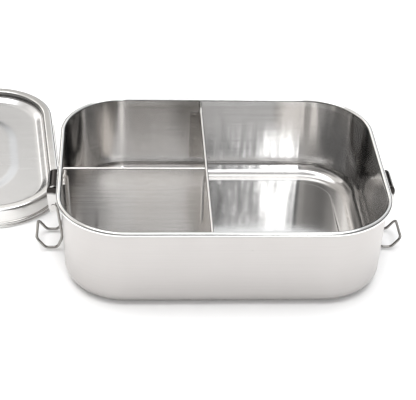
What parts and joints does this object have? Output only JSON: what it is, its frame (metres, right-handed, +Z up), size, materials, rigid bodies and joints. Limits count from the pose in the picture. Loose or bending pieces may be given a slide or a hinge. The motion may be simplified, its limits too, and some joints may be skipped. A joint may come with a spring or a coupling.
{
  "type": "bento lunch box",
  "caption": "Rounded stainless steel lunch box with welded dividers and an over-centre wire-bail clip on each short side, shown open with its gasketed lid lying beside it.",
  "frame": {"origin": "centre of the box's foot ring, on the table", "axes": "+X along the box's long side towards the right-hand clip, -Y towards its front, +Z up out of its mouth"},
  "size_m": [0.4419, 0.257, 0.057],
  "materials": {
    "box_shell": "satin outside, polished inside",
    "dividers": "polished",
    "clip_steel": "polished",
    "wire_steel": "polished wire",
    "lid_steel": "fine satin",
    "silicone": "translucent white silicone"
  },
  "bodies": {
    "box": {"box_shell": "box_shell", "long_divider": "dividers", "short_divider": "dividers", "clip_bracket_left": "clip_steel", "pivot_pin_left": "clip_steel", "clip_bracket_right": "clip_steel", "pivot_pin_right": "clip_steel"},
    "left_lever": {"clip_lever_left": "clip_steel"},
    "left_bail": {"wire_bail_left": "wire_steel"},
    "right_lever": {"clip_lever_right": "clip_steel"},
    "right_bail": {"wire_bail_right": "wire_steel"},
    "lid": {"lid_shell": "lid_steel", "lid_seal": "silicone"}
  },
  "joints": [
    {"name": "left_lever_hinge", "type": "hinge", "parent": "box", "child": "left_lever", "pos_m": [-0.1064, -0.007, 0.0323], "axis": [0, -1, 0], "range_deg": [0, 176]},
    {"name": "left_bail_hinge", "type": "hinge", "parent": "left_lever", "child": "left_bail", "pos_m": [-0.1042, -0.007, 0.0345], "axis": [0, 1, 0], "range_deg": [0, 352]},
    {"name": "right_lever_hinge", "type": "hinge", "parent": "box", "child": "right_lever", "pos_m": [0.1064, -0.007, 0.0323], "axis": [0, 1, 0], "range_deg": [0, 176]},
    {"name": "right_bail_hinge", "type": "hinge", "parent": "right_lever", "child": "right_bail", "pos_m": [0.1042, -0.007, 0.0345], "axis": [0, -1, 0], "range_deg": [0, 352]},
    {"name": "lid_lift", "type": "slide", "parent": "box", "child": "lid", "axis": [0, 0, 1], "range_m": [0, 0.08]}
  ],
  "couplings": [
    {"joint": "left_bail_hinge", "follows": "left_lever_hinge", "ratio": 2},
    {"joint": "right_bail_hinge", "follows": "right_lever_hinge", "ratio": 2}
  ]
}
